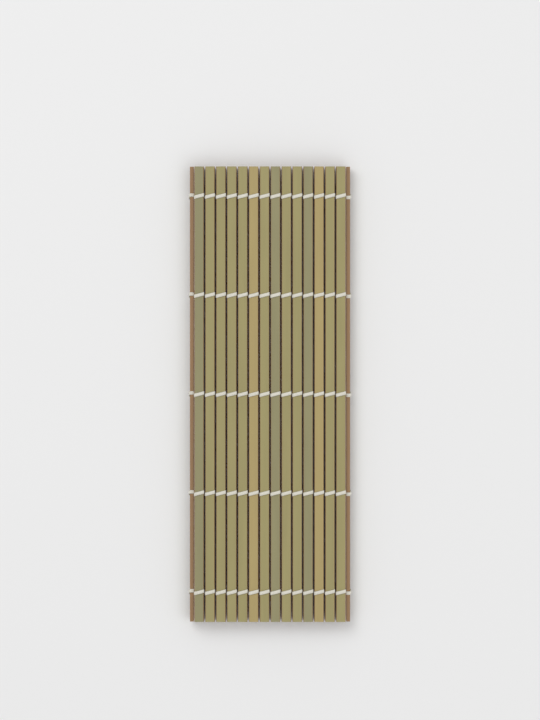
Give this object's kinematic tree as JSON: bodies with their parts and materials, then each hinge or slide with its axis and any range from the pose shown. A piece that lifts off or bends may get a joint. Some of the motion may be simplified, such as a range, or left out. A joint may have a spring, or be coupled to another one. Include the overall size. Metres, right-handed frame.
{
  "type": "sushi rolling mat",
  "caption": "Bamboo sushi rolling mat of flat green-skinned slats twined with five rows of cotton thread, folded flat as sold.",
  "frame": {"origin": "centre of the footprint, at the lowest face", "axes": "+X across the slats to the right edge, +Y along the slats, +Z out of the front"},
  "size_m": [0.086, 0.24, 0.0113],
  "materials": {
    "bamboo": "satin",
    "cotton": "matte"
  },
  "bodies": {
    "front_1": {"front_slat_1": "bamboo", "front_threads_1": "cotton"},
    "back_1": {"back_slat_1": "bamboo", "back_threads_1": "cotton"},
    "front_2": {"front_slat_2": "bamboo", "front_threads_2": "cotton"},
    "back_2": {"back_slat_2": "bamboo", "back_threads_2": "cotton"},
    "front_3": {"front_slat_3": "bamboo", "front_threads_3": "cotton"},
    "back_3": {"back_slat_3": "bamboo", "back_threads_3": "cotton"},
    "front_4": {"front_slat_4": "bamboo", "front_threads_4": "cotton"},
    "back_4": {"back_slat_4": "bamboo", "back_threads_4": "cotton"},
    "front_5": {"front_slat_5": "bamboo", "front_threads_5": "cotton"},
    "back_5": {"back_slat_5": "bamboo", "back_threads_5": "cotton"},
    "front_6": {"front_slat_6": "bamboo", "front_threads_6": "cotton"},
    "back_6": {"back_slat_6": "bamboo", "back_threads_6": "cotton"},
    "front_7": {"front_slat_7": "bamboo", "front_threads_7": "cotton"},
    "back_7": {"back_slat_7": "bamboo", "back_threads_7": "cotton"},
    "front_8": {"front_slat_8": "bamboo", "front_threads_8": "cotton"},
    "back_8": {"back_slat_8": "bamboo", "back_threads_8": "cotton"},
    "front_9": {"front_slat_9": "bamboo", "front_threads_9": "cotton"},
    "back_9": {"back_slat_9": "bamboo", "back_threads_9": "cotton"},
    "front_10": {"front_slat_10": "bamboo", "front_threads_10": "cotton"},
    "back_10": {"back_slat_10": "bamboo", "back_threads_10": "cotton"},
    "front_11": {"front_slat_11": "bamboo", "front_threads_11": "cotton"},
    "back_11": {"back_slat_11": "bamboo", "back_threads_11": "cotton"},
    "front_12": {"front_slat_12": "bamboo", "front_threads_12": "cotton"},
    "back_12": {"back_slat_12": "bamboo", "back_threads_12": "cotton"},
    "front_13": {"front_slat_13": "bamboo", "front_threads_13": "cotton"},
    "back_13": {"back_slat_13": "bamboo", "back_threads_13": "cotton"},
    "front_14": {"front_slat_14": "bamboo", "front_threads_14": "cotton"},
    "back_14": {"back_slat_14": "bamboo", "back_threads_14": "cotton"},
    "right_edge": {"right_slat": "bamboo", "right_threads": "cotton"},
    "left_edge": {"left_slat": "bamboo", "left_threads": "cotton"}
  },
  "joints": [
    {"name": "back_curl_13", "type": "hinge", "parent": "back_14", "child": "back_13", "pos_m": [0.0345, 0, 0.00175], "axis": [0, -1, 0], "range_deg": [0, 8]},
    {"name": "front_curl_13", "type": "hinge", "parent": "front_14", "child": "front_13", "pos_m": [0.0345, 0, 0.0095], "axis": [0, 1, 0], "range_deg": [0, 8]},
    {"name": "back_curl_12", "type": "hinge", "parent": "back_13", "child": "back_12", "pos_m": [0.02875, 0, 0.00175], "axis": [0, -1, 0], "range_deg": [0, 8]},
    {"name": "front_curl_12", "type": "hinge", "parent": "front_13", "child": "front_12", "pos_m": [0.02875, 0, 0.0095], "axis": [0, 1, 0], "range_deg": [0, 8]},
    {"name": "back_curl_11", "type": "hinge", "parent": "back_12", "child": "back_11", "pos_m": [0.023, 0, 0.00175], "axis": [0, -1, 0], "range_deg": [0, 8]},
    {"name": "front_curl_11", "type": "hinge", "parent": "front_12", "child": "front_11", "pos_m": [0.023, 0, 0.0095], "axis": [0, 1, 0], "range_deg": [0, 8]},
    {"name": "back_curl_10", "type": "hinge", "parent": "back_11", "child": "back_10", "pos_m": [0.01725, 0, 0.00175], "axis": [0, -1, 0], "range_deg": [0, 8]},
    {"name": "front_curl_10", "type": "hinge", "parent": "front_11", "child": "front_10", "pos_m": [0.01725, 0, 0.0095], "axis": [0, 1, 0], "range_deg": [0, 8]},
    {"name": "back_curl_9", "type": "hinge", "parent": "back_10", "child": "back_9", "pos_m": [0.0115, 0, 0.00175], "axis": [0, -1, 0], "range_deg": [0, 8]},
    {"name": "front_curl_9", "type": "hinge", "parent": "front_10", "child": "front_9", "pos_m": [0.0115, 0, 0.0095], "axis": [0, 1, 0], "range_deg": [0, 8]},
    {"name": "back_curl_8", "type": "hinge", "parent": "back_9", "child": "back_8", "pos_m": [0.00575, 0, 0.00175], "axis": [0, -1, 0], "range_deg": [0, 8]},
    {"name": "front_curl_8", "type": "hinge", "parent": "front_9", "child": "front_8", "pos_m": [0.00575, 0, 0.0095], "axis": [0, 1, 0], "range_deg": [0, 8]},
    {"name": "back_curl_7", "type": "hinge", "parent": "back_8", "child": "back_7", "pos_m": [0, 0, 0.00175], "axis": [0, -1, 0], "range_deg": [0, 8]},
    {"name": "front_curl_7", "type": "hinge", "parent": "front_8", "child": "front_7", "pos_m": [0, 0, 0.0095], "axis": [0, 1, 0], "range_deg": [0, 8]},
    {"name": "back_curl_6", "type": "hinge", "parent": "back_7", "child": "back_6", "pos_m": [-0.00575, 0, 0.00175], "axis": [0, -1, 0], "range_deg": [0, 8]},
    {"name": "front_curl_6", "type": "hinge", "parent": "front_7", "child": "front_6", "pos_m": [-0.00575, 0, 0.0095], "axis": [0, 1, 0], "range_deg": [0, 8]},
    {"name": "back_curl_5", "type": "hinge", "parent": "back_6", "child": "back_5", "pos_m": [-0.0115, 0, 0.00175], "axis": [0, -1, 0], "range_deg": [0, 8]},
    {"name": "front_curl_5", "type": "hinge", "parent": "front_6", "child": "front_5", "pos_m": [-0.0115, 0, 0.0095], "axis": [0, 1, 0], "range_deg": [0, 8]},
    {"name": "back_curl_4", "type": "hinge", "parent": "back_5", "child": "back_4", "pos_m": [-0.01725, 0, 0.00175], "axis": [0, -1, 0], "range_deg": [0, 8]},
    {"name": "front_curl_4", "type": "hinge", "parent": "front_5", "child": "front_4", "pos_m": [-0.01725, 0, 0.0095], "axis": [0, 1, 0], "range_deg": [0, 8]},
    {"name": "back_curl_3", "type": "hinge", "parent": "back_4", "child": "back_3", "pos_m": [-0.023, 0, 0.00175], "axis": [0, -1, 0], "range_deg": [0, 8]},
    {"name": "front_curl_3", "type": "hinge", "parent": "front_4", "child": "front_3", "pos_m": [-0.023, 0, 0.0095], "axis": [0, 1, 0], "range_deg": [0, 8]},
    {"name": "back_curl_2", "type": "hinge", "parent": "back_3", "child": "back_2", "pos_m": [-0.02875, 0, 0.00175], "axis": [0, -1, 0], "range_deg": [0, 8]},
    {"name": "front_curl_2", "type": "hinge", "parent": "front_3", "child": "front_2", "pos_m": [-0.02875, 0, 0.0095], "axis": [0, 1, 0], "range_deg": [0, 8]},
    {"name": "back_curl_1", "type": "hinge", "parent": "back_2", "child": "back_1", "pos_m": [-0.0345, 0, 0.00175], "axis": [0, -1, 0], "range_deg": [0, 8]},
    {"name": "front_curl_1", "type": "hinge", "parent": "front_2", "child": "front_1", "pos_m": [-0.0345, 0, 0.0095], "axis": [0, 1, 0], "range_deg": [0, 8]},
    {"name": "right_fold", "type": "hinge", "parent": "back_14", "child": "right_edge", "pos_m": [0.04025, 0, 0.00275], "axis": [0, 1, 0], "range_deg": [0, 90]},
    {"name": "front_fold", "type": "hinge", "parent": "right_edge", "child": "front_14", "pos_m": [0.04025, 0, 0.0085], "axis": [0, 1, 0], "range_deg": [0, 90]},
    {"name": "left_end_fold", "type": "hinge", "parent": "front_1", "child": "left_edge", "pos_m": [-0.04025, 0, 0.0085], "axis": [0, 1, 0], "range_deg": [0, 90]}
  ]
}
